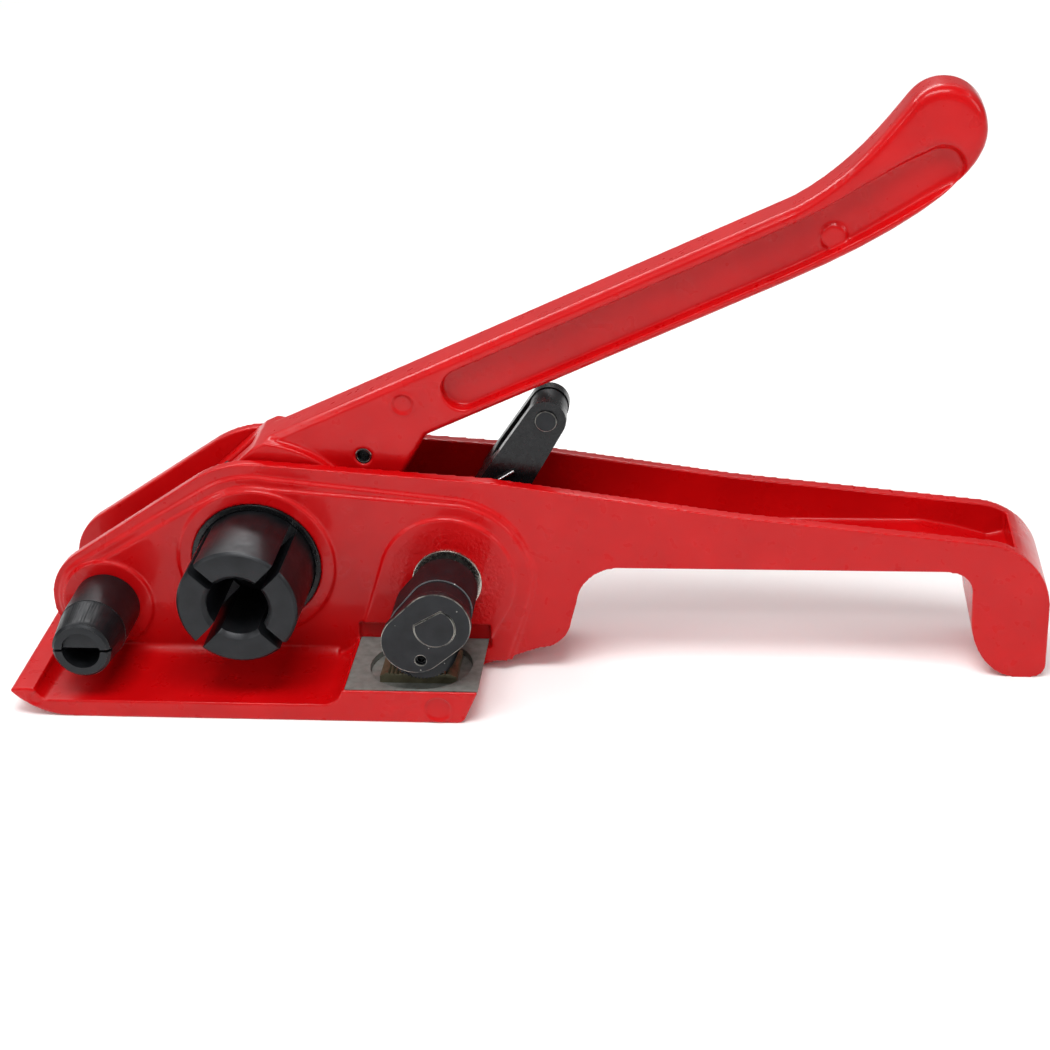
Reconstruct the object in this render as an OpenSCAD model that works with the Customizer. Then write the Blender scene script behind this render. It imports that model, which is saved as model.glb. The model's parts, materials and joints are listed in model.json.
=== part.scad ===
// Hand strapping tensioner: a slotted windlass with a ratchet handle, and a sprung
// gripper cam over a serrated jaw, in a cast frame with a channel grip and a hook.
// X runs from the nose to the hook, Y away from the user, Z up. The origin is on the
// underside, below the windlass axis, in the plane of the near cheek.

/* [Frame casting] */
// Width over both cheeks
body_w = 37; // [33:0.5:45]
// Thickness of each cheek
cheek_t = 4.5; // [3.8:0.1:5.4]
// How far the foot stands out in front of the near cheek
foot_depth = 38.4; // [36:0.2:46]
// Thickness of the foot's floor
floor_t = 6.5; // [5:0.1:7.8]
// Height of the pad under the gripper
pad_h = 12.3; // [11:0.1:12.8]
// Distance from the windlass axis to the back of the hook
tail_x = 279; // [235:1:335]
// Distance from the windlass axis to the tip of the foot
toe_x = 84; // [80:1:96]
// Height of the windlass axis
windlass_z = 43; // [42:0.5:50]
// Radius of the cheeks' crown round the windlass
crown_r = 37.5; // [34:0.5:42]
// Radius of the cheeks' nose round the guide
nose_r = 21; // [19:0.5:23]
// Height of each raised step on the near cheek
step_h = 0.9; // [0.6:0.1:1.2]

/* [Windlass and ratchet] */
// Radius of the slotted windlass
windlass_r = 21.1; // [18:0.1:25.4]
// Length of the windlass in front of the near cheek
windlass_len = 36; // [34:0.5:43]
// Radius of the hollow in the windlass
windlass_bore_r = 10.8; // [8:0.1:13]
// Width of the strap slots
slot_w = 3.3; // [2:0.1:4]
// Radius of the windlass shaft inside the frame
shaft_r = 11; // [9.5:0.1:12]
// Wall of the bushes pressed into the cheeks
bush_wall = 2.2; // [1.6:0.1:2.6]
// Radial clearance of every running fit
run_gap = 0.05; // [0.02:0.01:0.1]
// Radius over the ratchet teeth
ratchet_r = 32; // [29:0.5:33]
// Thickness of the ratchet wheel
ratchet_t = 5.9; // [4:0.1:7]
// Number of ratchet teeth
teeth = 24; // [12:12:24]

/* [Guide] */
// Distance of the guide axis in front of the windlass axis
guide_dx = 56.5; // [55:0.5:60]
// Height of the guide axis
guide_z = 26; // [25:0.5:29]
// Radius of the guide sleeve at the cheek
guide_r = 12; // [10:0.1:13]
// Radius of the guide shaft
guide_shaft_r = 6.75; // [5.5:0.05:7.5]

/* [Gripper] */
// Distance of the gripper axis behind the windlass axis
grip_dx = 68.3; // [67.3:0.5:70.3]
// Height of the gripper axis
grip_z = 37; // [36.6:0.1:39]
// Radius of the gripper shaft in its bushes
grip_shaft_r = 7; // [5.5:0.1:8]
// Radius of the front cam plate round its shaft
cam_r = 11.9; // [10.8:0.1:12.6]
// Radius of the front cam plate's lobe
lobe_r = 11.5; // [10.5:0.1:12]
// Thickness of the front cam plate
cam_plate_t = 3; // [2:0.1:4]
// Reach of the release lever from the gripper axis
lever_len = 67; // [60:0.1:68]
// Width over the release lever's ears
lever_w = 18; // [15:0.5:20]

/* [Handle] */
// Angle of the handle at rest
handle_angle = 24.4; // [23:0.1:36]
// Width over the handle's hub
hub_w = 25.6; // [22:0.1:26.4]
// Width of the handle's arm
arm_w = 19; // [16:0.5:22]
// Length from the windlass axis to the middle of the knob
knob_u = 277; // [230:1:330]
// Radius of the knob at the end of the handle
knob_r = 13.6; // [12:0.2:16]
// Distance of the arm's underside from the windlass axis
arm_low = 14.8; // [14.5:0.1:18]
// Depth of the arm
arm_h = 22.4; // [20:0.1:26]
// Depth of the recess in each side of the arm
recess_d = 5; // [2:0.1:6]

/* [Hidden] */
$fn = 96;

windlass_c = [0, windlass_z];
guide_c = [-guide_dx, guide_z];
grip_c = [grip_dx, grip_z];
mid_y = body_w/2;
in_near = cheek_t;
in_far = body_w - cheek_t;
bush_r = windlass_r + run_gap + bush_wall;
far_r = shaft_r - 2;
far_bush_r = far_r + run_gap + bush_wall;
boss_y = -3*step_h;

// ---- points of an arc, a curve and the line that touches two circles ----
function on(c, r, a) = c + r*[cos(a), sin(a)];
function arc(c, r, a0, a1, n = 12) = [for (i = [0:n]) on(c, r, a0 + (a1 - a0)*i/n)];
function bez(p, n = 10) = [for (i = [0:n]) let (t = i/n, s = 1 - t)
  s*s*s*p[0] + 3*s*s*t*p[1] + 3*s*t*t*p[2] + t*t*t*p[3]];
function heading(a, b) = atan2(b[1] - a[1], b[0] - a[0]);
// Angle at which the outer line on the left of a to b touches both circles
function touch(a, ra, b, rb) = heading(a, b) + acos((ra - rb)/norm(b - a));
function touch_right(a, ra, b, rb) = heading(a, b) - acos((ra - rb)/norm(b - a));

// A flat outline in X and Z, from y0 to y1
module slab(y0, y1) {
  translate([0, y1, 0]) rotate([90, 0, 0]) linear_extrude(y1 - y0) children();
}
module rod(c, r, y0, y1) {
  translate([c[0], y1, c[1]]) rotate([90, 0, 0]) cylinder(r = r, h = y1 - y0);
}
module cone(c, r0, r1, y0, y1) {
  translate([c[0], y0, c[1]]) rotate([-90, 0, 0]) cylinder(r1 = r0, r2 = r1, h = y1 - y0);
}
module tube(c, r, bore, y0, y1) {
  difference() {
    rod(c, r, y0, y1);
    rod(c, bore, y0 - 1, y1 + 1);
  }
}
// Two circles and the plate that joins them
module link(a, ra, b, rb) {
  t0 = touch(a, ra, b, rb);
  t1 = touch_right(a, ra, b, rb);
  polygon(concat(arc(a, ra, t0, t1 + 360, 30), arc(b, rb, t1, t0, 30)));
}
// Round wire along points that lie in planes across Y
module wire(path, r, sides = 8) {
  n = len(path);
  ring = [for (i = [0:n - 1])
    let (t0 = path[min(i + 1, n - 1)] - path[max(i - 1, 0)],
         t = t0/norm(t0),
         b0 = cross(t, [0, 1, 0]),
         b = b0/norm(b0),
         c = cross(b, t))
    for (k = [0:sides - 1]) path[i] + r*(cos(360*k/sides)*b + sin(360*k/sides)*c)];
  skin = [for (i = [0:n - 2]) for (k = [0:sides - 1]) let (m = (k + 1) % sides)
    [i*sides + k, i*sides + m, (i + 1)*sides + m, (i + 1)*sides + k]];
  first = [[for (k = [0:sides - 1]) sides - 1 - k]];
  last = [[for (k = [0:sides - 1]) (n - 1)*sides + k]];
  polyhedron(points = ring, faces = concat(skin, first, last));
}
// Points of a coil about an axis along Y, from angle a0 to a1
function coil(c, r, y0, pitch, a0, a1, step = 20) = [for (i = [0:round(abs(a1 - a0)/step)])
  let (a = a0 + (a1 - a0)*i/round(abs(a1 - a0)/step))
  [c[0] + r*cos(a), y0 + pitch*abs(a - a0)/360, c[1] + r*sin(a)]];

// ---- frame casting ----
hook_r = 25.3;
hook_c = [tail_x - hook_r - 0.3, 27];
grip_low = 41.2;
channel_z = grip_low + 4.3;
knee = [85, windlass_z + 31];
waist = [168, windlass_z + 18.8];
nose_touch = touch(guide_c, nose_r, windlass_c, crown_r);
crown_rear = heading(windlass_c, knee) + acos(crown_r/norm(knee - windlass_c));
lip_z = 11;
pad_x0 = grip_dx - 33.8;
pad_x1 = grip_dx + 13.7;
body_end = [grip_dx + 43.3, 20];
grip_boss_r = 24;

// Side outline of the cheeks, grip and hook
module side_outline() {
  polygon(concat(
    [[guide_c[0] - 12, 2], [pad_x1 - 5, 2], [pad_x1 - 4, 0.8]],
    arc(body_end + [-12.1, 0.8], 12.2, -88, -6, 10),
    arc([body_end[0] + 17.4, grip_low - 15.3], 15.3, 174, 92, 12),
    [[hook_c[0] - 12, grip_low]],
    arc([hook_c[0] - 9.5, grip_low - 8.2], 8, 85, 4, 8),
    bez([[hook_c[0] - 1.2, 21], [hook_c[0] - 0.6, 12], [hook_c[0] + 5, 1], [hook_c[0] + 14, 0]], 8),
    arc([hook_c[0] + 20.6, 4.9], 4.9, -90, 0, 6),
    arc(hook_c, hook_r, 0, 86, 18),
    [waist, knee],
    arc(windlass_c, crown_r, crown_rear, nose_touch, 14),
    arc(guide_c, nose_r, nose_touch, 232, 20)));
}
module foot_outline() {
  ski_r = 29.4;
  ski_c = [-toe_x + 21.9, ski_r];
  blend_r = 4.5;
  step_r = 7.5;
  step_c = [pad_x0 - 7.3, floor_t + step_r];
  polygon(concat(
    arc(ski_c, ski_r, -90 - 47.5, -90, 12),
    [[pad_x1 - 8, 0]],
    arc([pad_x1 - 7.5, 3], 3, -90, -22, 5),
    [[pad_x1, pad_h]],
    arc(step_c, step_r, asin((pad_h - step_c[1])/step_r), -90, 8),
    arc([-toe_x + 13.4, floor_t + blend_r], blend_r, -90, -180, 8),
    [[-toe_x + 1.6, lip_z], [-toe_x + 0.2, lip_z - 0.7]]));
}
// Space between the cheeks: open at the nose and along the top
module cavity_outline() {
  polygon(concat(
    [[-toe_x - 5, floor_t + 4.5], [-toe_x + 13.4, floor_t + 4.5]],
    [[-toe_x + 17, floor_t], [pad_x0 - 6, floor_t], [pad_x0 + 1, pad_h - 0.4]],
    [[pad_x1 + 6, pad_h - 0.4], body_end + [-6, -1], body_end + [-1, 14]],
    [[body_end[0] + 9, channel_z]],
    [[hook_c[0] - 18, channel_z], [hook_c[0] - 6, channel_z - 2.2]],
    [[hook_c[0] + 6, channel_z - 5.5], [hook_c[0] + 12, channel_z - 4]],
    [[hook_c[0] + 14, channel_z + 40], [-toe_x - 5, windlass_z + 60]]));
}
// Raised field inside the near cheek's border, set in by d
module field_outline(d) {
  polygon(concat(
    [[guide_c[0] - 10, 4], [grip_c[0] + 23 - d/2, 4]],
    arc(grip_c, 32.5 - d/2, -18, 78, 14),
    arc(windlass_c, crown_r - d - 2, crown_rear - 8, nose_touch, 12),
    arc(guide_c, nose_r - d, nose_touch, 228, 16)));
}
// Raised boss round the gripper, with straight legs down to the pad
module gripper_boss_outline() {
  polygon(concat(
    arc(grip_c, grip_boss_r, -28, 165, 28),
    [[pad_x0 + 0.5, pad_h + 0.1], [pad_x1 + 0.2, pad_h + 0.1]]));
}
// Rounded corner between the foot's floor and the near cheek
module cheek_blend() {
  r = 7;
  x0 = -toe_x + 18;
  x1 = pad_x0 - 7.3;
  translate([x0, 0, floor_t]) rotate([90, 0, 90]) linear_extrude(x1 - x0)
    polygon(concat([[0.5, -0.5], [0.5, r]], arc([-r, r], r, 0, -90, 8), [[-r, -0.5]]));
}
module frame_casting() color("crimson") {
  difference() {
    union() {
      slab(0, body_w) side_outline();
      slab(-foot_depth, body_w) foot_outline();
      slab(-step_h, 1) field_outline(2.6);
      slab(-2*step_h, 1) field_outline(6.2);
      cheek_blend();
      rod(windlass_c, bush_r + 4.8, boss_y, 1);
      rod(guide_c, guide_r + 4.6, boss_y, 1);
      slab(boss_y, 1) gripper_boss_outline();
      rod(windlass_c, far_bush_r + 5, body_w - 1, body_w + 1.2);
      rod(guide_c, 11, body_w - 1, body_w + 1.2);
      rod(grip_c, grip_shaft_r + 7, body_w - 1, body_w + 1.2);
    }
    slab(in_near, in_far) cavity_outline();
    rod(windlass_c, bush_r, boss_y - 1, in_near + 1);
    rod(windlass_c, far_bush_r, in_far - 1, body_w + 3);
    rod(grip_c, grip_bush_r, boss_y - 1, in_near + 1);
    rod(grip_c, grip_far_bush_r, in_far - 1, body_w + 3);
    rod(guide_c, guide_shaft_r, boss_y - 1, in_near + 1);
    rod(guide_c, guide_thread_r, in_far - 1, body_w + 3);
    rod(hold_c, hold_pin_r, in_near - hold_blind, in_near + 1);
    rod(hold_c, hold_pin_r, in_far - 1, body_w + 3);
    // Seat for the steel plate, open at its rear end, and the jaw's screw holes
    translate([pad_x0 + plate_inset, -foot_depth + plate_lip, plate_z])
      cube([plate_w, foot_depth - plate_lip, 10]);
    jaw_holes(jaw_screw_r);
  }
}

// ---- steel plate, serrated jaw and their screws ----
plate_t = 3;
plate_lip = 1.1;
plate_z = pad_h - plate_t;
plate_inset = 0.8;
plate_w = pad_x1 - pad_x0;
plate_gap = 0.03;
// Steel left under the well
well_z = plate_z + 0.8;
well_r = 16.5;
well_y = -foot_depth + 18.9;
well_x = grip_dx - 8.3;
jaw_w = 27;
jaw_y0 = well_y - 9;
jaw_y1 = well_y + 10;
jaw_top = pad_h + 1.7;
jaw_screw_r = 2.1;
jaw_screw_top = plate_z + 3.1;
jaw_screw_x = [well_x - 7, well_x + 7];
tooth_p = 1.5;
tooth_d = 0.55;

module jaw_holes(r) {
  for (x = jaw_screw_x) translate([x, well_y, 0]) {
    translate([0, 0, -1]) cylinder(r = r, h = jaw_screw_top + 1.1);
    translate([0, 0, -0.01]) cylinder(r1 = r + 2.2, r2 = r, h = 2.2);
  }
}
// Obround well in the plate
module well() {
  for (x = [-1.5, 1.5]) translate([well_x + x, well_y, well_z]) cylinder(r = well_r, h = 10);
  translate([well_x - 1.5, well_y - well_r, well_z]) cube([3, 2*well_r, 10]);
}
module gripper_base_plate() color("darkgray") {
  difference() {
    intersection() {
      translate([pad_x0 + plate_inset + plate_gap, -foot_depth + plate_lip + plate_gap, plate_z])
        cube([plate_w, foot_depth - plate_lip - 2*plate_gap, plate_t]);
      slab(-foot_depth, 1) foot_outline();
    }
    well();
    jaw_holes(jaw_screw_r);
  }
}
module jaw_insert() color("olivedrab") {
  difference() {
    // Bevelled bar, cut across by rows of teeth
    slab(jaw_y0, jaw_y1) polygon([
      [well_x - jaw_w/2, well_z], [well_x + jaw_w/2, well_z],
      [well_x + jaw_w/2, jaw_top - 1.4], [well_x + jaw_w/2 - 2.6, jaw_top],
      [well_x - jaw_w/2 + 2.6, jaw_top], [well_x - jaw_w/2, jaw_top - 1.4]]);
    for (i = [0:floor((jaw_w - 6)/tooth_p) - 1])
      translate([well_x - jaw_w/2 + 3.6 + i*tooth_p, jaw_y0 - 1, jaw_top - tooth_d])
        rotate([0, -45, 0]) cube([tooth_p, jaw_y1 - jaw_y0 + 2, tooth_p]);
    jaw_holes(jaw_screw_r);
  }
}
module jaw_screws() color("dimgray") {
  for (x = jaw_screw_x) translate([x, well_y, 0]) difference() {
    union() {
      translate([0, 0, 0.3]) cylinder(r = jaw_screw_r - 0.05, h = jaw_screw_top - 0.5);
      translate([0, 0, 0.3]) cylinder(r1 = jaw_screw_r + 1.8, r2 = jaw_screw_r - 0.05, h = 1.85);
    }
    translate([0, 0, -1]) cylinder(r = 1.4, h = 2.6, $fn = 6);
  }
}

// ---- bushes ----
grip_bush_r = grip_shaft_r + run_gap + bush_wall;
grip_far_bush_r = grip_bush_r;
flange_r = 12.4;
flange_t = 1.2;
module windlass_bushing_near() color("dimgray") {
  tube(windlass_c, bush_r, windlass_r + run_gap, boss_y - 0.7, in_near);
}
module windlass_bushing_far() color("dimgray") {
  tube(windlass_c, far_bush_r, far_r + run_gap, in_far, body_w + 1.2);
}
module gripper_bushing_near() color("silver") {
  difference() {
    union() {
      rod(grip_c, grip_bush_r, boss_y - 0.5, in_near);
      rod(grip_c, flange_r, boss_y - flange_t, boss_y);
    }
    rod(grip_c, grip_shaft_r + run_gap, boss_y - 3, in_near + 1);
  }
}
module gripper_bushing_far() color("silver") {
  tube(grip_c, grip_far_bush_r, grip_shaft_r + run_gap, in_far, body_w + 1.2);
}

// ---- windlass, ratchet wheel and key ----
key_w = 5;
key_low = 8.3;
key_top = 13.3;
ratchet_y0 = mid_y - ratchet_t/2;
ratchet_y1 = mid_y + ratchet_t/2;
tooth_h = 2.8;
root_r = ratchet_r - tooth_h;
land = 0.14;
pitch_a = 360/teeth;
first_tooth = -6.5;
windlass_y0 = -windlass_len;
windlass_end = body_w + 4;
journal_end = in_near + 0.4;
ring_y = body_w + 1.6;
ring_t = 1.2;

module windlass() color("darkslategray") {
  difference() {
    union() {
      cone(windlass_c, windlass_r - 1, windlass_r, windlass_y0, windlass_y0 + 1);
      rod(windlass_c, windlass_r, windlass_y0 + 1, journal_end);
      rod(windlass_c, shaft_r, journal_end - 1, in_far - 0.4);
      rod(windlass_c, far_r, in_far - 1, windlass_end);
    }
    // Hollow end with a chamfered mouth
    rod(windlass_c, windlass_bore_r, windlass_y0 - 1, boss_y + 1);
    cone(windlass_c, windlass_bore_r + 1.6, windlass_bore_r - 0.1, windlass_y0 - 0.01, windlass_y0 + 1.7);
    // Crossed strap slots
    for (a = [45, 135]) translate([0, windlass_y0 - 1, windlass_z]) rotate([0, -a, 0])
      translate([-windlass_r - 5, 0, -slot_w/2]) cube([2*windlass_r + 10, windlass_len*0.9 + 1, slot_w]);
    // Keyway and the groove of the retaining ring
    translate([-key_w/2, ratchet_y0, windlass_z + key_low]) cube([key_w, ratchet_t, shaft_r]);
    tube(windlass_c, far_r + 2, far_r - 1, ring_y, ring_y + ring_t);
  }
}
module ratchet_wheel() color("dimgray") {
  difference() {
    slab(ratchet_y0, ratchet_y1) polygon([for (i = [0:teeth - 1]) let (a = first_tooth + i*pitch_a)
      each [on(windlass_c, root_r, a), on(windlass_c, ratchet_r, a),
        on(windlass_c, ratchet_r, a + pitch_a*land)]]);
    rod(windlass_c, shaft_r + 0.03, ratchet_y0 - 1, ratchet_y1 + 1);
    translate([-key_w/2, ratchet_y0 - 1, windlass_z]) cube([key_w, ratchet_t + 2, key_top + 0.03]);
  }
}
module wheel_key() color("silver") {
  translate([-key_w/2 + 0.02, ratchet_y0 + 0.1, windlass_z + key_low + 0.02])
    cube([key_w - 0.04, ratchet_t - 0.2, key_top - key_low - 0.04]);
}
module snap_ring(c, r, y) {
  // Open ring that sits in a shaft's groove
  translate([c[0], y + 0.05, c[1]]) rotate([-90, 0, 0]) rotate([0, 0, 20])
    rotate_extrude(angle = 320) translate([r - 1 + 0.03, 0]) square([3.2, ring_t - 0.1]);
}
module windlass_retaining_ring() color("gray") {
  snap_ring(windlass_c, far_r, ring_y);
}

// ---- guide ----
guide_y0 = -37.5;
guide_thread_r = guide_shaft_r - 1.75;
nut_y = body_w + 1.2 + 1.6;
module guide_shaft() color("dimgray") {
  difference() {
    union() {
      rod(guide_c, guide_shaft_r, guide_y0 + 1.6, in_far);
      rod(guide_c, guide_thread_r - 0.05, in_far - 1, nut_y + 8.5);
    }
    // Flat on the lower half of the near end
    translate([guide_c[0] - 10, guide_y0 - 1, guide_c[1] - 10]) cube([20, 12, 10.4]);
  }
}
module guide_sleeve() color("darkslategray") {
  sleeve_back = boss_y - 0.3;
  nose_y = guide_y0 + 15;
  difference() {
    union() {
      rod(guide_c, guide_r, nose_y, sleeve_back);
      cone(guide_c, guide_r - 1.6, guide_r - 0.15, guide_y0 + 1, nose_y + 0.01);
      cone(guide_c, guide_r - 2.6, guide_r - 1.6, guide_y0, guide_y0 + 1.01);
    }
    rod(guide_c, guide_shaft_r + run_gap, guide_y0 - 1, sleeve_back + 1);
    // Thin slot across the rim
    translate([guide_c[0] - 20, guide_y0 - 1, guide_c[1] - 0.5]) cube([40, 3.5, 1]);
  }
}
module guide_washer() color("silver") {
  tube(guide_c, 10, guide_thread_r + 0.1, body_w + 1.2, nut_y);
}
module guide_nut() color("dimgray") {
  difference() {
    translate([guide_c[0], nut_y, guide_c[1]]) rotate([-90, 0, 0]) cylinder(r = 9.8, h = 6, $fn = 6);
    rod(guide_c, guide_thread_r, nut_y - 1, nut_y + 7);
  }
}

// ---- gripper: shaft, cam, front plate and release lever turn together ----
cam_y0 = -foot_depth + 0.8;
cam_plate_y1 = cam_y0 + cam_plate_t;
cam_plate_c = grip_c + [0.6, 1.2];
lobe_c = grip_c + [-7.4, -5.9];
// The cam has a smaller front half; its toothed lobe reaches lower than the front plate's
cam_step_y = -23.6;
cam_back_y = -8;
cam_body_r = cam_r - 0.4;
cam_front_r = cam_r - 0.9;
body_lobe_c = grip_c + [-5.5, -8.9];
body_lobe_r = lobe_r + 1.5;
front_lobe_r = body_lobe_r - 0.4;
cam_neck_r = grip_shaft_r + 2.3;
flat_c = 4.5;
flat_a = 120;
fit_gap = 0.03;
module gripper_shaft() color("dimgray") {
  difference() {
    rod(grip_c, grip_shaft_r, cam_y0 - 0.3, windlass_end);
    // Flat that keys the cam plate, on the upper left
    translate([grip_c[0], cam_y0 - 1, grip_c[1]]) rotate([0, -flat_a, 0])
      translate([flat_c, 0, -10]) cube([10, cam_plate_t + 1.5, 20]);
    tube(grip_c, grip_shaft_r + 2, grip_shaft_r - 1, ring_y, ring_y + ring_t);
  }
}
module keyed_bore(y0, y1) {
  difference() {
    rod(grip_c, grip_shaft_r + fit_gap, y0, y1);
    translate([grip_c[0], y0 - 1, grip_c[1]]) rotate([0, -flat_a, 0])
      translate([flat_c + fit_gap, 0, -10]) cube([10, y1 - y0 + 2, 20]);
  }
}
// V grooves round the part of the lobe that meets the strap
module lobe_teeth(r, y0, y1) {
  for (a = [225:6:309]) translate([body_lobe_c[0], y0, body_lobe_c[1]]) rotate([0, -a, 0])
    translate([r - tooth_d, 0, 0]) rotate([0, 45, 0]) cube([tooth_p, y1 - y0, tooth_p]);
}
module gripper_cam() color("dimgray") {
  difference() {
    union() {
      rod(grip_c, cam_neck_r, cam_back_y - 1, boss_y - flange_t - 0.3);
      slab(cam_step_y, cam_back_y) link(grip_c, cam_body_r, body_lobe_c, body_lobe_r);
      slab(cam_plate_y1 + 0.05, cam_step_y + 1) link(grip_c, cam_front_r, body_lobe_c, front_lobe_r);
    }
    rod(grip_c, grip_shaft_r + fit_gap, cam_y0 - 1, boss_y);
    lobe_teeth(body_lobe_r, cam_step_y, cam_back_y + 1);
    lobe_teeth(front_lobe_r, cam_y0, cam_step_y + 0.5);
  }
}
module cam_end_plate() color("dimgray") {
  difference() {
    slab(cam_y0, cam_plate_y1) link(cam_plate_c, cam_r, lobe_c, lobe_r);
    keyed_bore(cam_y0 - 1, cam_plate_y1 + 1);
    rod(cam_pin_c, cam_pin_r, cam_y0 - 1, cam_plate_y1 + 1);
  }
}
cam_pin_c = grip_c + [-5.4, -12.5];
cam_pin_r = 1.9;
cam_pin_sunk = 1.2;
module cam_roll_pin() color("black") {
  difference() {
    tube(cam_pin_c, cam_pin_r - fit_gap, 1.3, cam_y0 + cam_pin_sunk, cam_plate_y1);
    translate([cam_pin_c[0], cam_y0, cam_pin_c[1] - 0.25]) cube([3, cam_plate_t + 1, 0.5]);
  }
}
module gripper_retaining_ring() color("gray") {
  snap_ring(grip_c, grip_shaft_r, ring_y);
}
// The lever is drawn along +X and turned up to its angle
lever_a = 57.7;
lever_y0 = mid_y - lever_w/2;
lever_y1 = mid_y + lever_w/2;
ear_t = 4.4;
ear_r = 7;
lever_pin_r = 3.3;
split_u = 0.56*lever_len;
module lever_place() {
  translate([grip_c[0], 0, grip_c[1]]) rotate([0, -lever_a, 0]) children();
}
module release_lever() color("darkslategray") {
  hub_r = grip_shaft_r + 5.5;
  stem_y0 = lever_y0 + ear_t*0.7;
  stem_y1 = lever_y1 - ear_t*0.7;
  lever_place() difference() {
    union() {
      slab(stem_y0 - 1.2, stem_y1 + 1.2) circle(r = hub_r);
      slab(stem_y0, stem_y1) polygon([[0, -9], [split_u + 6, -8], [split_u + 6, 8], [0, 9]]);
      slab(lever_y0, lever_y1) link([split_u - 2, 0], 8.4, [lever_len, 0], ear_r);
      // Lug for the clamping screw
      translate([-5, stem_y0 - 1.2, 0]) cube([12, 8.5, hub_r + 4]);
    }
    // Gap between the ears, closed by a slanted throat
    translate([0, lever_y0 + ear_t, -20]) linear_extrude(40) polygon([
      [split_u + 9, 0], [split_u + 3, (lever_w - 2*ear_t)/2], [split_u + 9, lever_w - 2*ear_t],
      [lever_len + 20, lever_w - 2*ear_t], [lever_len + 20, 0]]);
    rod([0, 0], grip_shaft_r + fit_gap, -1, body_w);
    rod([lever_len, 0], lever_pin_r, lever_y0 - 1, lever_y1 + 1);
    translate([1, stem_y0 + 3, 2]) cylinder(r = 2.6, h = 40);
  }
}
module lever_clamp_screw() color("black") {
  stem_y0 = lever_y0 + ear_t*0.7;
  top = grip_shaft_r + 5.5 + 4;
  lever_place() translate([1, stem_y0 + 3, 0]) difference() {
    union() {
      translate([0, 0, grip_shaft_r + 0.1]) cylinder(r = 2.55, h = top - grip_shaft_r);
      translate([0, 0, top]) cylinder(r = 4, h = 4);
    }
    translate([0, 0, top + 1.5]) cylinder(r = 2.1, h = 4, $fn = 6);
  }
}
module lever_roller_pin() color("dimgray") {
  lever_place() {
    rod([lever_len, 0], lever_pin_r - 0.03, lever_y0 - 0.4, lever_y1 + 0.4);
    rod([lever_len, 0], lever_pin_r + 0.5, lever_y0 - 0.9, lever_y0 - 0.03);
    rod([lever_len, 0], lever_pin_r + 0.5, lever_y1 + 0.03, lever_y1 + 0.9);
  }
}
module lever_roller() color("black") {
  lever_place() tube([lever_len, 0], ear_r - 0.4, lever_pin_r - 0.03 + run_gap,
    lever_y0 + ear_t + 0.35, lever_y1 - ear_t - 0.35);
}
module gripper_spring() color("silver") {
  // Torsion spring round the shaft: its long leg runs up the lever's near side and hooks across it
  r = grip_shaft_r + 1.6;
  leg_y = lever_y0 - 0.9;
  leg = grip_c + [14.4, 31.8];
  hook = [9.7, 6];
  start_a = heading(grip_c, leg) + acos(r/norm(leg - grip_c));
  turns = 540;
  wire(concat(
    [[leg[0] + hook[0], leg_y, leg[1] + hook[1]], [leg[0], leg_y, leg[1]]],
    coil(grip_c, r, leg_y, -1.5, start_a, start_a + turns),
    [[grip_c[0] + r*cos(start_a + turns) - 12*sin(start_a + turns), leg_y - 1.5*turns/360,
      grip_c[1] + r*sin(start_a + turns) + 12*cos(start_a + turns)]]), 0.6);
}

// ---- ratchet pawls ----
pawl_t = ratchet_t - 0.4;
pawl_y0 = mid_y - pawl_t/2;
pawl_y1 = mid_y + pawl_t/2;
hold_c = on(windlass_c, ratchet_r + 6.95, -41.9);
hold_pin_r = 3;
hold_blind = 3;
// Radius of the tooth's back at an angle short of its face
function back_r(short) = root_r + tooth_h*short/((1 - land)*pitch_a);
// A pawl whose tip stops short of the tooth face at angle a
module pawl_outline(pivot, a, boss_r, short) {
  tip = on(windlass_c, back_r(short) + 0.4, a - short);
  back = on(windlass_c, ratchet_r + 0.8, a - short);
  belly = on(windlass_c, back_r(short + 6.8) + 0.5, a - short - 6.8);
  heel = on(windlass_c, ratchet_r + 0.7, a - short - 11.3);
  polygon(concat([tip, back],
    arc(pivot, boss_r, heading(pivot, back) - 70, heading(pivot, heel) + 75 - 360, 16),
    [heel, belly]));
}
module holding_pawl() color("black") {
  difference() {
    slab(pawl_y0, pawl_y1) pawl_outline(hold_c, first_tooth, 5.5, 1.2);
    rod(hold_c, hold_pin_r + run_gap, 0, body_w);
  }
}
module holding_pawl_pin() color("silver") {
  rod(hold_c, hold_pin_r, in_near - hold_blind, body_w);
}
module holding_pawl_spring() color("silver") {
  wire(coil(hold_c, 4.2, pawl_y1 + 0.8, 1.5, 200, 200 + 720), 0.5);
}
// Pawl pivot in the handle, in the handle's own frame
drive_pivot = [50.9, 17.3];
function turned(p, a) = [p[0]*cos(a) - p[1]*sin(a), p[0]*sin(a) + p[1]*cos(a)];
drive_c = windlass_c + turned(drive_pivot, handle_angle);
drive_tooth = first_tooth + 90;
drive_pin_r = 2.9;
drive_pin_sunk = 0.4;
lift_a = 6;
module handle_pawl() color("black") {
  // Held clear of the wheel while the handle is down
  translate([drive_c[0], 0, drive_c[1]]) rotate([0, lift_a, 0]) translate([-drive_c[0], 0, -drive_c[1]])
    difference() {
      slab(pawl_y0, pawl_y1) pawl_outline(drive_c, drive_tooth, 6.5, 3.4);
      rod(drive_c, drive_pin_r + run_gap, 0, body_w);
    }
}
module handle_pawl_pin() color("silver") {
  // Hollow spring pin, just below the arm's faces
  half = arm_w/2 - drive_pin_sunk;
  tube(drive_c, drive_pin_r, drive_pin_r - 0.7, mid_y - half, mid_y + half);
}
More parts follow.
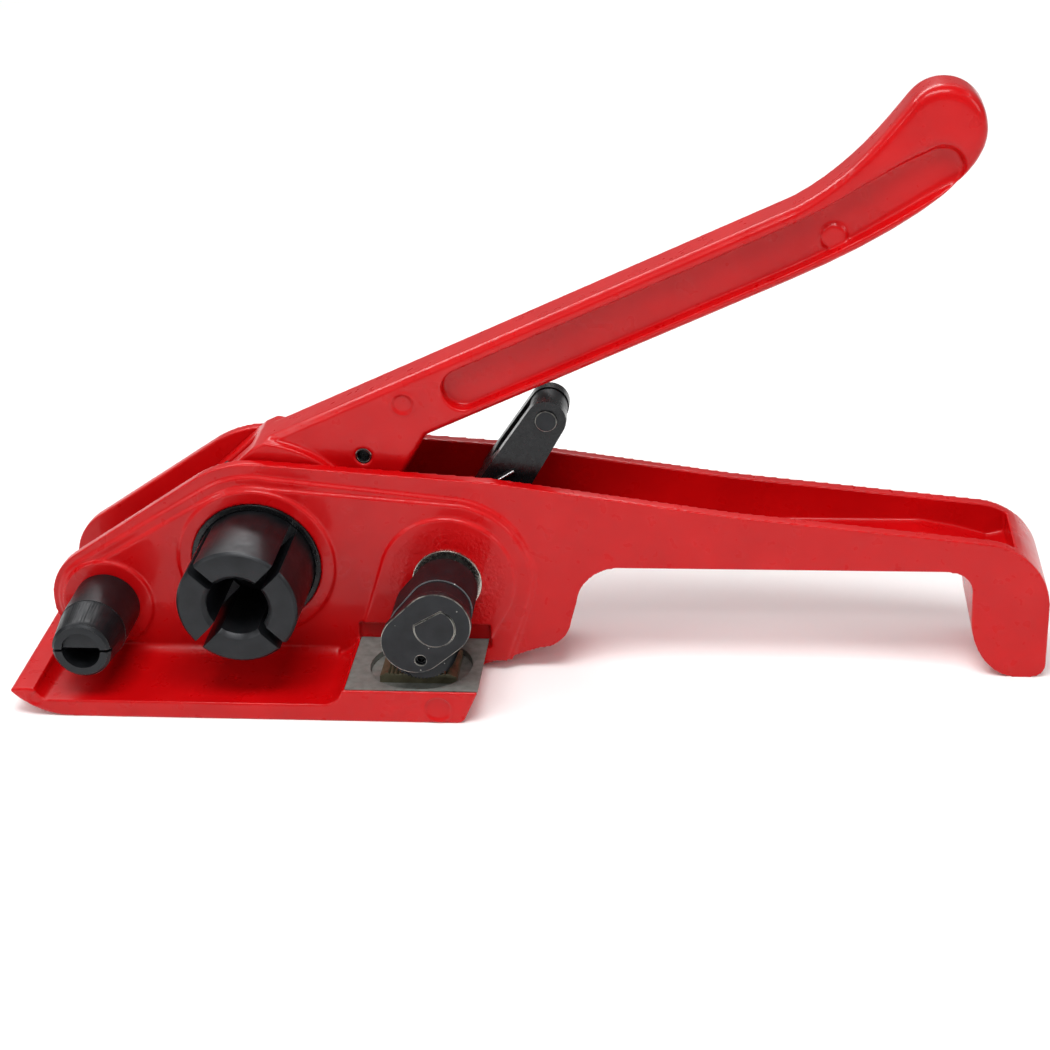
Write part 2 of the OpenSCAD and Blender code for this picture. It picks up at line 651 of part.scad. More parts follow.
module handle_pawl_spring() color("silver") {
  wire(coil(drive_c, 4.6, pawl_y1 + 0.6, 0.9, 0, 400), 0.4);
}

// ---- handle casting, drawn along +X from the windlass axis ----
hub_end_r = 30.5;
shoulder_r = 43.3;
arm_top = arm_low + arm_h;
knob_c = [knob_u, arm_low + 27.3];
slot_gap = 0.3;
fork_gap_y0 = ratchet_y0 - slot_gap;
fork_gap_y1 = ratchet_y1 + slot_gap;
crown_u = 17.6;
heel_u = 74.4;
spring_seat_r = 5.6;
module handle_place() {
  translate([windlass_c[0], 0, windlass_c[1]]) rotate([0, -handle_angle, 0]) children();
}
module arm_outline(d) {
  heel_touch = heading([0, 0], [heel_u, arm_low]) - acos(hub_end_r/norm([heel_u, arm_low]));
  crown_touch = heading([0, 0], [crown_u, arm_top]) + acos(hub_end_r/norm([crown_u, arm_top]));
  polygon(concat(
    arc([0, 0], hub_end_r, crown_touch, heel_touch + 360, 24),
    [[heel_u, arm_low + d]],
    bez([[knob_u - 66, arm_low + d], [knob_u - 18 - d/2, arm_low + d],
      [knob_u + knob_r - 1 - d, arm_low + 7.5 + d], on(knob_c, knob_r - d, -10)]),
    arc(knob_c, knob_r - d, -4, 112, 20),
    bez([on(knob_c, knob_r - d, 118), on(knob_c, knob_r - d, 118) - 13*[0.88, 0.47],
      [knob_u - 33, arm_top + 1.8 - d], [knob_u - 54, arm_top - d]]),
    [[crown_u, arm_top - d]]));
}
module hub_outline() {
  intersection() {
    circle(r = shoulder_r);
    arm_outline(0);
  }
}
module recess_outline() {
  r = 7.2;
  end_r = 7.2;
  low = arm_low + 3.2;
  high = arm_top - 4.4;
  end_c = knob_c + [-5.5, -12.2];
  polygon(concat(
    arc([94.3, high - r], r, 90, 180, 6),
    arc([94.3, low + r], r, 180, 270, 6),
    bez([[knob_u - 68, low], [knob_u - 38, low], [knob_u - 20, low + 3.2], on(end_c, end_r, -76)], 8),
    arc(end_c, end_r, -68, 96, 10),
    bez([on(end_c, end_r, 104), [knob_u - 22, high + 4.6], [knob_u - 38, high], [knob_u - 64, high]], 8)));
}
// Room between the fork's cheeks for the wheel and the pawl, open round the hub
module fork_gap_outline() {
  bridge = arm_top - 3.2;
  polygon([[-60, -60], [heel_u + 11, -60], [heel_u + 11, arm_low + 7], [drive_pivot[0] + 13, bridge - 3],
    [drive_pivot[0] + 2, bridge], [crown_u - 3, bridge], [crown_u - 6, 70], [-60, 70]]);
}
module handle_casting() color("crimson") {
  handle_place() difference() {
    union() {
      // Arm in three layers, so that its long edges are eased
      slab(mid_y - arm_w/2, mid_y + arm_w/2) arm_outline(1.4);
      slab(mid_y - arm_w/2 + 1.2, mid_y + arm_w/2 - 1.2) arm_outline(0.4);
      slab(mid_y - arm_w/2 + 2.6, mid_y + arm_w/2 - 2.6) arm_outline(0);
      slab(mid_y - hub_w/2, mid_y + hub_w/2) hub_outline();
    }
    slab(fork_gap_y0, fork_gap_y1) fork_gap_outline();
    rod([0, 0], shaft_r + run_gap, 0, body_w);
    rod(drive_pivot, drive_pin_r, 0, body_w);
    rod(drive_pivot, spring_seat_r, fork_gap_y1 - 1, fork_gap_y1 + 2.2);
    for (y = [mid_y - arm_w/2 - 1, mid_y + arm_w/2 - recess_d]) slab(y, y + recess_d + 1) recess_outline();
  }
}

frame_casting();
gripper_base_plate();
jaw_insert();
jaw_screws();
windlass_bushing_near();
windlass_bushing_far();
gripper_bushing_near();
gripper_bushing_far();
guide_shaft();
guide_nut();
guide_washer();
holding_pawl_pin();
windlass();
ratchet_wheel();
wheel_key();
windlass_retaining_ring();
handle_casting();
handle_pawl_pin();
handle_pawl();
handle_pawl_spring();
holding_pawl();
holding_pawl_spring();
gripper_shaft();
gripper_cam();
cam_end_plate();
cam_roll_pin();
gripper_retaining_ring();
release_lever();
lever_clamp_screw();
lever_roller_pin();
lever_roller();
gripper_spring();
guide_sleeve();
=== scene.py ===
import json
import math

import bmesh
import bpy
from mathutils import Matrix, Vector


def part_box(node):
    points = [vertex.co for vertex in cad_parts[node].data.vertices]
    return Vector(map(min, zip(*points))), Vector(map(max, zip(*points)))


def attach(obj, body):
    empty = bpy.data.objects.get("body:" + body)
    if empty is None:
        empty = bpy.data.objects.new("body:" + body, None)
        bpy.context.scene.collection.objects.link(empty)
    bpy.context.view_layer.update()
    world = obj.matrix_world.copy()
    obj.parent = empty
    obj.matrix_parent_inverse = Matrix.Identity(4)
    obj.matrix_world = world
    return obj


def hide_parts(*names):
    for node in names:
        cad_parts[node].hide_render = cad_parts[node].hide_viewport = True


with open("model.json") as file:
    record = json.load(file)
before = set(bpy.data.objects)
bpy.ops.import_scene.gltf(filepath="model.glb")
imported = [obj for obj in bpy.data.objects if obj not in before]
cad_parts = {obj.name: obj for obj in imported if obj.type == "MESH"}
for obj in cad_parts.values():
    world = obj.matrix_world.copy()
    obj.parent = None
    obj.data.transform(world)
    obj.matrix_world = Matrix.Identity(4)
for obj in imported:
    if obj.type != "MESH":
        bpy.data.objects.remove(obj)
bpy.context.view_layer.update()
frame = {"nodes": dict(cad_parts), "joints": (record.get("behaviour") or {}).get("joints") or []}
MM = 0.001

# ---- Camera, lights and floor ----
# The tool stands on its sole on a plain pale floor, seen from the front and above. A soft lamp hangs over
# it, a long narrow one behind draws bright lines along its upper edges, and small ones stand at the sides.
eye = Vector((169.85, -654.0, 383.5)) * MM
right = Vector((0.9949, 0.0940, -0.0355))
up = Vector((-0.0101, 0.4446, 0.8957))
back = right.cross(up).normalized()
up = back.cross(right).normalized()
camera = bpy.data.objects.new("camera", bpy.data.cameras.new("camera"))
camera.data.lens = 72.0
camera.data.sensor_width = 36.0
camera.matrix_world = Matrix.Translation(eye) @ Matrix((right.normalized(), up, back)).transposed().to_4x4()
bpy.context.scene.collection.objects.link(camera)
bpy.context.scene.camera = camera
bpy.context.scene.view_settings.view_transform = "Standard"


def soft_light(name, place, aim, size, watts):
    """A rectangular lamp at place, turned to face aim."""
    lamp = bpy.data.lights.new(name, "AREA")
    lamp.energy = watts
    lamp.shape = "RECTANGLE"
    lamp.size, lamp.size_y = size
    holder = bpy.data.objects.new(name, lamp)
    holder.location = place
    holder.rotation_euler = (Vector(place) - Vector(aim)).to_track_quat("Z", "Y").to_euler()
    bpy.context.scene.collection.objects.link(holder)


soft_light("top_light", (0.05, -0.3, 0.9), (0.1, 0, 0.05), (0.6, 0.36), 7)
soft_light("rim_light", (-0.2, 0.75, 0.75), (0.1, 0, 0.1), (1.0, 0.12), 4)
soft_light("right_light", (0.9, -0.35, 0.45), (0.1, 0, 0.08), (0.3, 0.3), 1.2)
soft_light("left_light", (-0.7, -0.6, 0.55), (0.05, 0, 0.05), (0.3, 0.2), 1.4)
# One lamp past each side lights only the far floor, so that it stays pale from every side.
tool_middle_x = 0.1
lamp_away, lit_away = 1.6, 2.6
for across, along in ((0, 1), (0, -1), (1, 0), (-1, 0)):
    soft_light("floor_light", (tool_middle_x + lamp_away * across, lamp_away * along, 1.5),
               (tool_middle_x + lit_away * across, lit_away * along, 0), (2.4, 0.8), 30)
world = bpy.data.worlds.new("studio")
world.use_nodes = True
world.node_tree.nodes["Background"].inputs["Color"].default_value = (1.0, 1.0, 1.0, 1.0)
world.node_tree.nodes["Background"].inputs["Strength"].default_value = 0.24
bpy.context.scene.world = world


def linear(hex_colour):
    """An sRGB hex colour such as 'b81418' as linear RGBA."""
    parts = [int(hex_colour[i:i + 2], 16) / 255 for i in (0, 2, 4)]
    return tuple(p / 12.92 if p <= 0.04045 else ((p + 0.055) / 1.055) ** 2.4 for p in parts) + (1.0,)


def add_node(tree, kind, settings=None, inputs=None):
    """Adds a node; an input that is a socket is linked, and any other is a value."""
    made = tree.nodes.new(kind)
    for key, value in (settings or {}).items():
        setattr(made, key, value)
    for key, value in (inputs or {}).items():
        if isinstance(value, bpy.types.NodeSocket):
            tree.links.new(value, made.inputs[key])
        else:
            made.inputs[key].default_value = value
    return made


def finish_of(name, shader_values):
    """A new material: its tree, its shader with constant values set, and object coordinates."""
    material = bpy.data.materials.new(name)
    material.use_nodes = True
    tree = material.node_tree
    shader = tree.nodes["Principled BSDF"]
    for key, value in shader_values.items():
        shader.inputs[key].default_value = value
    coords = add_node(tree, "ShaderNodeTexCoord").outputs["Object"]
    return material, tree, shader, coords


def blotches(tree, coords, size, low, high, detail=2.0):
    """Cloudy noise whose blotches are size across, as a number from low to high."""
    noise = add_node(tree, "ShaderNodeTexNoise", None, {
        "Vector": coords, "Scale": 1 / size, "Detail": detail})
    spread = add_node(tree, "ShaderNodeMapRange", None, {
        "Value": noise.outputs["Fac"], "From Min": 0.3, "From Max": 0.7, "To Min": low, "To Max": high})
    return spread.outputs["Result"]


def two_tone(tree, amount, first, second):
    """A colour between two sRGB hex colours, or from a colour socket, by amount."""
    mix = add_node(tree, "ShaderNodeMix", {"data_type": "RGBA"})
    tree.links.new(amount, mix.inputs["Factor"])
    # A mix node's colour inputs are its sockets 6 and 7, and its colour result is output 2.
    for socket, colour in ((mix.inputs[6], first), (mix.inputs[7], second)):
        if isinstance(colour, str):
            socket.default_value = linear(colour)
        else:
            tree.links.new(colour, socket)
    return mix.outputs[2]


def bump(tree, shader, height, depth, under=None):
    """Surface relief of that depth, over another relief if given."""
    inputs = {"Height": height, "Distance": depth, "Strength": 1.0}
    if under is not None:
        inputs["Normal"] = under
    made = add_node(tree, "ShaderNodeBump", None, inputs)
    tree.links.new(made.outputs["Normal"], shader.inputs["Normal"])
    return made.outputs["Normal"]


floor_mesh = bpy.data.meshes.new("floor")
reach = 6.0
corners = [(-reach, -reach, 0), (reach, -reach, 0), (reach, reach, 0), (-reach, reach, 0)]
floor_mesh.from_pydata(corners, [], [(0, 1, 2, 3)])
floor = bpy.data.objects.new("floor", floor_mesh)
bpy.context.scene.collection.objects.link(floor)
floor_paint, tree, shader, coords = finish_of("pale_floor_paint", {"Roughness": 0.9})
tree.links.new(two_tone(tree, blotches(tree, coords, 0.4, 0, 1), "f6f6f5", "fafafa"),
               shader.inputs["Base Color"])
floor_mesh.materials.append(floor_paint)

# ---- Frame casting ----
# One die casting: the foot, both cheeks, the channel grip and the hook. The mould leaves round ejector
# marks and rounded edges, and a coat of glossy red stove enamel flows over all of it.
sag, sag_depth = 9 * MM, 0.05 * MM
peel, peel_depth = 1.5 * MM, 0.01 * MM
blister, blister_depth = 1.1 * MM, 0.12 * MM
pool = 22 * MM
joint_place = {joint["name"]: Vector(joint["pos_m"]) for joint in frame["joints"]}
gripper_axis = joint_place["gripper_open"]
boss_face_r = 20.5 * MM
boss_step = 1.5 * MM
enamel, tree, shader, coords = finish_of("red_stove_enamel", {
    "Metallic": 0.0, "IOR": 1.3, "Coat Weight": 0.2, "Coat Roughness": 0.03, "Coat IOR": 1.5})
# Enamel pools a little darker, flows out in a faint orange peel, and lies rough on the gripper's boss.
tree.links.new(two_tone(tree, blotches(tree, coords, pool, 0, 1), "b40307", "c00509"),
               shader.inputs["Base Color"])
tree.links.new(blotches(tree, coords, 6 * MM, 0.26, 0.34), shader.inputs["Roughness"])
flow = bump(tree, shader, blotches(tree, coords, sag, 0, 1, 1.0), sag_depth)
fine = bump(tree, shader, blotches(tree, coords, peel, 0, 1, 1.0), peel_depth, flow)
flattened = add_node(tree, "ShaderNodeVectorMath", {"operation": "MULTIPLY"}, {
    0: coords, 1: (1.0, 0.0, 1.0)})
from_axis = add_node(tree, "ShaderNodeVectorMath", {"operation": "DISTANCE"}, {
    0: flattened.outputs["Vector"], 1: (gripper_axis.x, 0.0, gripper_axis.z)})
on_boss = add_node(tree, "ShaderNodeMapRange", None, {
    "Value": from_axis.outputs["Value"], "From Min": boss_face_r, "From Max": boss_face_r + boss_step,
    "To Min": 1.0, "To Max": 0.0})
rough_skin = add_node(tree, "ShaderNodeMath", {"operation": "MULTIPLY"}, {
    0: on_boss.outputs["Result"], 1: blotches(tree, coords, blister, 0, 1, 2.0)})
bump(tree, shader, rough_skin.outputs["Value"], blister_depth, fine)


def merged_copy(node):
    """A CAD node's mesh as a bmesh with its doubles merged."""
    bm = bmesh.new()
    bm.from_mesh(frame["nodes"][node].data)
    bmesh.ops.remove_doubles(bm, verts=bm.verts, dist=1e-7)
    return bm


def shaped_by(name, mesh, kind, settings):
    """A mesh after one modifier; the mesh that came in isn't kept in the scene."""
    shape = bpy.data.objects.new(name, mesh)
    bpy.context.scene.collection.objects.link(shape)
    modifier = shape.modifiers.new(name, kind)
    for key, value in settings.items():
        setattr(modifier, key, value)
    bpy.context.view_layer.update()
    made = bpy.data.meshes.new_from_object(shape.evaluated_get(bpy.context.evaluated_depsgraph_get()))
    bpy.data.objects.remove(shape)
    return made


def placed(name, mesh, body, node):
    """Puts a finished mesh in the scene as a piece that stands for a CAD node."""
    for face in mesh.polygons:
        face.use_smooth = True
    piece = bpy.data.objects.new(name, mesh)
    bpy.context.scene.collection.objects.link(piece)
    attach(piece, body)
    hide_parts(node)


def ring_mark(mesh, centre, radius, depth):
    """An ejector mark on a front face: a shallow round dish with a fine raised rim."""
    wall, lip_away, lip_width, lip_share = 0.15 * MM, 0.5 * MM, 0.4 * MM, 0.7
    for vert in mesh.vertices:
        offset = vert.co - centre
        past_edge = math.hypot(offset.x, offset.z) - radius
        if abs(offset.y) < 2.5 * MM and past_edge < 5 * lip_width:
            dish = 1 / (1 + math.exp(past_edge / wall))
            lip = math.exp(-((past_edge - lip_away) / lip_width) ** 2)
            vert.co.y += depth * (dish - lip_share * lip)


def rubbed_round(mesh, start, gain, rounds):
    """Rounds a mesh off more and more from start towards +X, as a knob is rubbed smooth for the hand."""
    bm = bmesh.new()
    bm.from_mesh(mesh)
    for i in range(rounds):
        chosen = [vert for vert in bm.verts if vert.co.x > start + gain * i]
        bmesh.ops.smooth_vert(bm, verts=chosen, factor=0.5,
                              use_axis_x=True, use_axis_y=True, use_axis_z=True)
    bm.to_mesh(mesh)
    bm.free()


def cast_skin(node, voxel, rounds, most_faces, marks, bosses=(), knob=None):
    """A node as a casting: joined with its bosses, its edges rounded over by rounds of smoothing, its knob
    rubbed round, its mould marks pressed in, and thinned to most_faces triangles."""
    bm = merged_copy(node)
    for place, radius, length in bosses:
        turn = Matrix.Translation(place) @ Matrix.Rotation(math.pi / 2, 4, "X")
        bmesh.ops.create_cone(bm, cap_ends=True, segments=48, radius1=radius, radius2=radius, depth=length,
                              matrix=turn)
    rough = bpy.data.meshes.new(node + "_rough")
    bm.to_mesh(rough)
    bm.free()
    solid = shaped_by(node + "_solid", rough, "REMESH", {"mode": "VOXEL", "voxel_size": voxel})
    eased = shaped_by(node + "_eased", solid, "SMOOTH", {"factor": 0.5, "iterations": rounds})
    if knob is not None:
        rubbed_round(eased, *knob)
    for centre, radius, depth in marks:
        ring_mark(eased, centre, radius, depth)
    ratio = min(1.0, most_faces / (2 * len(eased.polygons)))
    mesh = shaped_by(node + "_thin", eased, "DECIMATE", {"ratio": ratio})
    mesh.name = node + "_skin"
    mesh.materials.clear()
    mesh.materials.append(enamel)
    for face in mesh.polygons:
        face.material_index = 0
    return mesh


frame_voxel = 0.5 * MM
foot_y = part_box("frame_casting")[0].y
foot_marks = [(Vector((68 * MM, foot_y, 5.7 * MM)), 4.4 * MM, 0.5 * MM),
              (Vector((-75 * MM, foot_y, 7 * MM)), 2.4 * MM, 0.4 * MM)]
frame_mesh = cast_skin("frame_casting", frame_voxel, rounds=1, most_faces=190000, marks=foot_marks)
placed("frame_casting_skin", frame_mesh, "frame", "frame_casting")

# ---- Steel plate, jaw and screws ----
# The lower strap layer lies on a phosphated steel plate with a milled well. In the well, two screws
# hold a hardened jaw cut with rows of teeth, left in its olive temper colour.
plate_steel, tree, shader, coords = finish_of("phosphated_plate_steel", {"Metallic": 0.35})
grind = add_node(tree, "ShaderNodeMapping", None, {"Vector": coords, "Scale": (0.06, 1.0, 1.0)})
grind_lines = blotches(tree, grind.outputs["Vector"], 0.6 * MM, 0, 1, 3.0)
tree.links.new(two_tone(tree, blotches(tree, coords, 3 * MM, 0, 1, 4.0), "6e706c", "868883"),
               shader.inputs["Base Color"])
tree.links.new(blotches(tree, coords, 4 * MM, 0.5, 0.62, 3.0), shader.inputs["Roughness"])
bump(tree, shader, grind_lines, 0.02 * MM)

jaw_steel, tree, shader, coords = finish_of("tempered_jaw_steel", {"Metallic": 0.45})
tree.links.new(two_tone(tree, blotches(tree, coords, 4 * MM, 0, 1, 4.0), "4d4a38", "6b6650"),
               shader.inputs["Base Color"])
tree.links.new(blotches(tree, coords, 1.5 * MM, 0.4, 0.55, 3.0), shader.inputs["Roughness"])
bump(tree, shader, blotches(tree, coords, 0.5 * MM, 0, 1, 2.0), 0.015 * MM)

# Oxide wears off the broken edges first, which leaves thin bright lines with dark gaps in them.
worn_edge, tree, shader, coords = finish_of("worn_bare_edge_steel", {"Metallic": 0.9})
tree.links.new(two_tone(tree, blotches(tree, coords, 3.5 * MM, 0, 1, 3.0), "37383a", "a6a49c"),
               shader.inputs["Base Color"])
tree.links.new(blotches(tree, coords, 1.5 * MM, 0.25, 0.4), shader.inputs["Roughness"])
bump(tree, shader, blotches(tree, coords, 0.5 * MM, 0, 1, 1.0), 0.01 * MM)


def machined(node, surface, edge_finish, body, edge):
    """A CAD node with its sharp edges broken: flat faces joined, then edges bevelled in edge_finish."""
    bm = merged_copy(node)
    bmesh.ops.dissolve_limit(bm, angle_limit=math.radians(0.6), verts=bm.verts, edges=bm.edges)
    mesh = bpy.data.meshes.new(node + "_sharp")
    bm.to_mesh(mesh)
    bm.free()
    mesh.materials.clear()
    mesh.materials.append(surface)
    mesh.materials.append(edge_finish)
    for face in mesh.polygons:
        face.material_index = 0
    eased = shaped_by(node + "_eased", mesh, "BEVEL", {
        "width": edge, "segments": 2, "limit_method": "ANGLE", "angle_limit": math.radians(32),
        "material": 1})
    placed(node + "_eased", eased, body, node)
    eased.set_sharp_from_angle(angle=math.radians(24))


machined("gripper_base_plate", plate_steel, worn_edge, "frame", edge=0.25 * MM)
machined("jaw_insert", jaw_steel, jaw_steel, "frame", edge=0.12 * MM)

# ---- Windlass, ratchet wheel, guide and their bushes ----
# Turned and milled steel parts, blacked in hot oxide and oiled, with every edge broken by about 0.3 mm.
# Black oxide is a deep grey with a soft sheen; fine tool marks run round the turned parts, and grit
# leaves a few bare specks.
speck_gap = 5 * MM
speck_core, speck_edge = 0.03, 0.06
wave_rings = 20


def with_specks(tree, coords, colour):
    """A colour with a few tiny bare specks in it."""
    cells = add_node(tree, "ShaderNodeTexVoronoi", None, {"Vector": coords, "Scale": 1 / speck_gap})
    spot = add_node(tree, "ShaderNodeMapRange", None, {
        "Value": cells.outputs["Distance"], "From Min": speck_core, "From Max": speck_edge,
        "To Min": 1.0, "To Max": 0.0})
    return two_tone(tree, spot.outputs["Result"], colour, "8f8f8a")


black, tree, shader, coords = finish_of("black_oxide_steel", {"Metallic": 0.5})
oxide = two_tone(tree, blotches(tree, coords, 5 * MM, 0, 1, 4.0), "141518", "212326")
tree.links.new(with_specks(tree, coords, oxide), shader.inputs["Base Color"])
tree.links.new(blotches(tree, coords, 2.5 * MM, 0.34, 0.48, 3.0), shader.inputs["Roughness"])
bump(tree, shader, blotches(tree, coords, 0.5 * MM, 0, 1, 2.0), 0.012 * MM)

turned_black, tree, shader, coords = finish_of("black_oxide_turned_steel", {"Metallic": 0.5})
tree.links.new(two_tone(tree, blotches(tree, coords, 6 * MM, 0, 1, 4.0), "141518", "1f2124"),
               shader.inputs["Base Color"])
tree.links.new(blotches(tree, coords, 3 * MM, 0.32, 0.44, 3.0), shader.inputs["Roughness"])
tool_marks = add_node(tree, "ShaderNodeTexWave", {"bands_direction": "Y"}, {
    "Vector": coords, "Scale": 1 / (0.6 * MM) / wave_rings, "Distortion": 0.6, "Detail": 2.0})
bump(tree, shader, tool_marks.outputs["Fac"], 0.006 * MM)

# Oiled black bushes: smoother than the rest, with a dark rim.
bush_black, tree, shader, coords = finish_of("oiled_black_bush", {"Metallic": 0.4})
tree.links.new(two_tone(tree, blotches(tree, coords, 5 * MM, 0, 1), "0f1012", "18191b"),
               shader.inputs["Base Color"])
tree.links.new(blotches(tree, coords, 2 * MM, 0.2, 0.34), shader.inputs["Roughness"])
bump(tree, shader, blotches(tree, coords, 0.6 * MM, 0, 1), 0.006 * MM)

for node in ("windlass", "ratchet_wheel"):
    machined(node, turned_black, black, "windlass", edge=0.3 * MM)
machined("guide_sleeve", turned_black, worn_edge, "guide_sleeve", edge=0.3 * MM)
machined("guide_shaft", turned_black, black, "frame", edge=0.3 * MM)
for node in ("windlass_bushing_near", "windlass_bushing_far"):
    machined(node, bush_black, bush_black, "frame", edge=0.4 * MM)
for node in ("guide_nut", "jaw_screws"):
    machined(node, black, black, "frame", edge=0.25 * MM)

# Turned bright steel: the flanged bush behind the gripper cam shows as a shining ring.
bright, tree, shader, coords = finish_of("bright_turned_steel", {"Metallic": 1.0})
turning = add_node(tree, "ShaderNodeTexWave", {"bands_direction": "Y"}, {
    "Vector": coords, "Scale": 1 / (0.5 * MM) / wave_rings, "Distortion": 1.0, "Detail": 2.0})
tree.links.new(two_tone(tree, blotches(tree, coords, 3 * MM, 0, 1, 3.0), "a3a199", "c9c6bd"),
               shader.inputs["Base Color"])
tree.links.new(blotches(tree, coords, 1.5 * MM, 0.18, 0.32, 3.0), shader.inputs["Roughness"])
bump(tree, shader, turning.outputs["Fac"], 0.0015 * MM)
for node in ("gripper_bushing_near", "gripper_bushing_far", "guide_washer", "holding_pawl_pin"):
    machined(node, bright, bright, "frame", edge=0.3 * MM)
for node in ("wheel_key", "windlass_retaining_ring"):
    machined(node, bright, bright, "windlass", edge=0.15 * MM)

# ---- Handle casting and pawls ----
# A second casting in the same enamel: a fork that straddles the ratchet wheel, and an arm with a long
# recess in each side, a plain round boss in each recess, and a swept-up knob for the hand. A hollow
# spring pin carries its pawl.
arm_low, arm_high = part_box("handle_casting")
arm_mid_y = (arm_low.y + arm_high.y) / 2
arm_half_w = 9.5 * MM
arm_mark = (Vector((54.3 * MM, arm_mid_y - arm_half_w, 99.7 * MM)), 3.5 * MM, 0.5 * MM)
boss_place = Vector((201 * MM, arm_mid_y, 158.4 * MM))
boss_r = 4.2 * MM
boss_to_boss = 11.4 * MM
knob_start = arm_high.x - 44 * MM
handle_voxel = 0.55 * MM
handle_mesh = cast_skin("handle_casting", handle_voxel, rounds=5, most_faces=180000, marks=[arm_mark],
                        bosses=[(boss_place, boss_r, boss_to_boss)], knob=(knob_start, 0.5 * MM, 60))
placed("handle_casting_skin", handle_mesh, "handle", "handle_casting")
machined("handle_pawl_pin", bush_black, bright, "handle", edge=0.15 * MM)
machined("handle_pawl", black, worn_edge, "handle_pawl", edge=0.2 * MM)
machined("holding_pawl", black, worn_edge, "holding_pawl", edge=0.2 * MM)

# ---- Gripper cam, its shaft and the release lever ----
# The cam is milled steel with a toothed lobe, keyed to its shaft by a front plate; the forged lever
# clamps on the same shaft between the cheeks and carries a roller at its end.
for node, edge in (("gripper_cam", 0.3), ("cam_end_plate", 0.35)):
    machined(node, black, worn_edge, "gripper", edge=edge * MM)
machined("gripper_shaft", black, worn_edge, "gripper", edge=0.3 * MM)
machined("release_lever", bush_black, black, "gripper", edge=0.8 * MM)
for node in ("lever_clamp_screw", "cam_roll_pin"):
    machined(node, bush_black, bush_black, "gripper", edge=0.15 * MM)
machined("lever_roller_pin", black, worn_edge, "gripper", edge=0.25 * MM)
machined("gripper_retaining_ring", bright, bright, "gripper", edge=0.15 * MM)
machined("lever_roller", turned_black, black, "lever_roller", edge=0.3 * MM)

# ---- Springs ----
# Cold-wound torsion springs of drawn steel wire: one turns the gripper shut and has a long leg along
# the lever, and a small one behind each pawl pushes it onto the wheel.
wire_steel, tree, shader, coords = finish_of("drawn_spring_wire", {"Metallic": 1.0})
tree.links.new(two_tone(tree, blotches(tree, coords, 2 * MM, 0, 1), "aeb0b2", "cfd0d1"),
               shader.inputs["Base Color"])
tree.links.new(blotches(tree, coords, 1 * MM, 0.18, 0.30), shader.inputs["Roughness"])
bump(tree, shader, blotches(tree, coords, 0.5 * MM, 0, 1), 0.004 * MM)

wire_tree = bpy.data.node_groups.new("wire_along_path", "GeometryNodeTree")
sockets = {}
for socket_name, socket_kind in (("Path", "NodeSocketGeometry"), ("Wire radius", "NodeSocketFloat"),
                                 ("Sides", "NodeSocketInt"), ("Finish", "NodeSocketMaterial")):
    sockets[socket_name] = wire_tree.interface.new_socket(
        name=socket_name, in_out="INPUT", socket_type=socket_kind).identifier
wire_tree.interface.new_socket(name="Wire", in_out="OUTPUT", socket_type="NodeSocketGeometry")
given = add_node(wire_tree, "NodeGroupInput").outputs
path_curve = add_node(wire_tree, "GeometryNodeMeshToCurve", None, {"Mesh": given["Path"]})
section = add_node(wire_tree, "GeometryNodeCurvePrimitiveCircle", None, {
    "Resolution": given["Sides"], "Radius": given["Wire radius"]})
swept = add_node(wire_tree, "GeometryNodeCurveToMesh", None, {
    "Curve": path_curve.outputs["Curve"], "Profile Curve": section.outputs["Curve"], "Fill Caps": True})
real = add_node(wire_tree, "GeometryNodeRealizeInstances", None, {"Geometry": swept.outputs["Mesh"]})
finished = add_node(wire_tree, "GeometryNodeSetMaterial", None, {
    "Geometry": real.outputs["Geometry"], "Material": given["Finish"]})
add_node(wire_tree, "NodeGroupOutput", None, {"Wire": finished.outputs["Geometry"]})


def coil(centre, radius, y, pitch, first, last, step=8):
    """Points in mm of a coil about an axis along Y, between two angles in degrees."""
    count = round(abs(last - first) / step)
    turn = [first + (last - first) * i / count for i in range(count + 1)]
    return [(centre[0] + radius * math.cos(math.radians(a)), y + pitch * (a - first) / 360,
             centre[1] + radius * math.sin(math.radians(a))) for a in turn]


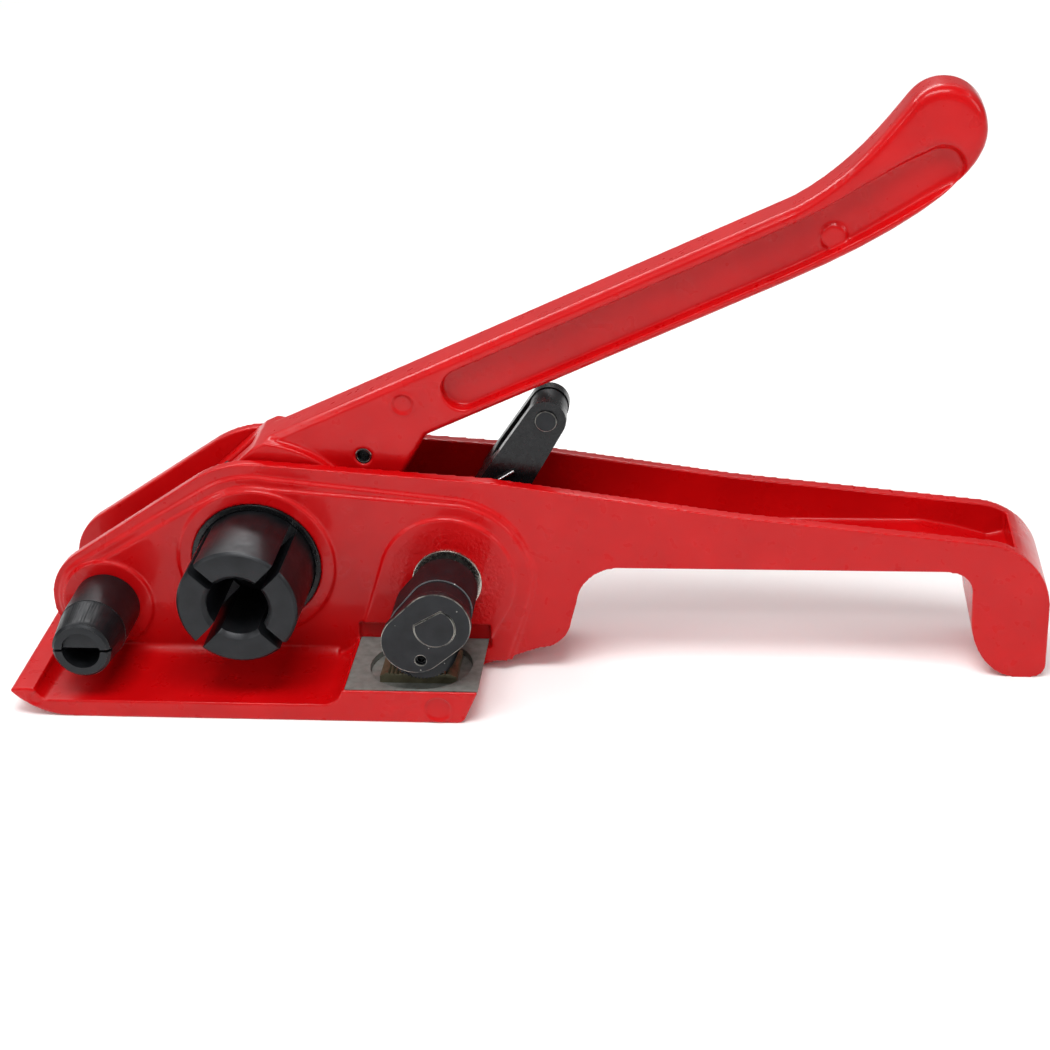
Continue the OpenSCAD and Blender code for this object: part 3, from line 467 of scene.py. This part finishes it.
def wound_wire(node, body, path, radius):
    """Round wire along points in mm, as a piece that stands for a spring's CAD node."""
    line = bpy.data.meshes.new(node + "_path")
    line.from_pydata([Vector(p) * MM for p in path], [(i, i + 1) for i in range(len(path) - 1)], [])
    shape = bpy.data.objects.new(node + "_path", line)
    bpy.context.scene.collection.objects.link(shape)
    winding = shape.modifiers.new("winding", "NODES")
    winding.node_group = wire_tree
    winding[sockets["Wire radius"]] = radius * MM
    winding[sockets["Sides"]] = 12
    winding[sockets["Finish"]] = wire_steel
    bpy.context.view_layer.update()
    mesh = bpy.data.meshes.new_from_object(shape.evaluated_get(bpy.context.evaluated_depsgraph_get()))
    bpy.data.objects.remove(shape)
    placed(node + "_wound", mesh, body, node)
    mesh.set_sharp_from_angle(angle=math.radians(50))


def axis_of(joint):
    """Where a joint's axis crosses the XZ plane, in mm."""
    return joint_place[joint].x / MM, joint_place[joint].z / MM


# The gripper's spring: from the hooked end of its long leg, round the shaft 1.5 times, to a short tail.
coil_centre = axis_of("gripper_open")
coil_r, coil_y, coil_pitch = 8.6, 8.6, -1.5
tail_length = 12
leg_top = (82.7, 68.8)
leg_hook = (9.7, 6.0)
leg_run = (leg_top[0] - coil_centre[0], leg_top[1] - coil_centre[1])
leg_start = math.degrees(math.atan2(leg_run[1], leg_run[0]) + math.acos(coil_r / math.hypot(*leg_run)))
turns = 1.5
coil_end = math.radians(leg_start + 360 * turns)
tail_end = (coil_centre[0] + coil_r * math.cos(coil_end) - tail_length * math.sin(coil_end),
            coil_y + coil_pitch * turns,
            coil_centre[1] + coil_r * math.sin(coil_end) + tail_length * math.cos(coil_end))
leg = [(leg_top[0] + leg_hook[0], coil_y, leg_top[1] + leg_hook[1]), (leg_top[0], coil_y, leg_top[1])]
wound = coil(coil_centre, coil_r, coil_y, coil_pitch, leg_start, leg_start + 360 * turns)
wound_wire("gripper_spring", "frame", leg + wound + [tail_end], radius=0.6)

# The pawls' springs: two turns behind the holding pawl, and just over one behind the handle's pawl.
holding_coil = coil(axis_of("holding_pawl_swing"), radius=4.2, y=22.05, pitch=1.5, first=200, last=920)
wound_wire("holding_pawl_spring", "frame", holding_coil, radius=0.5)
handle_coil = coil(axis_of("handle_pawl_swing"), radius=4.6, y=21.85, pitch=0.9, first=0, last=400)
wound_wire("handle_pawl_spring", "handle", handle_coil, radius=0.4)
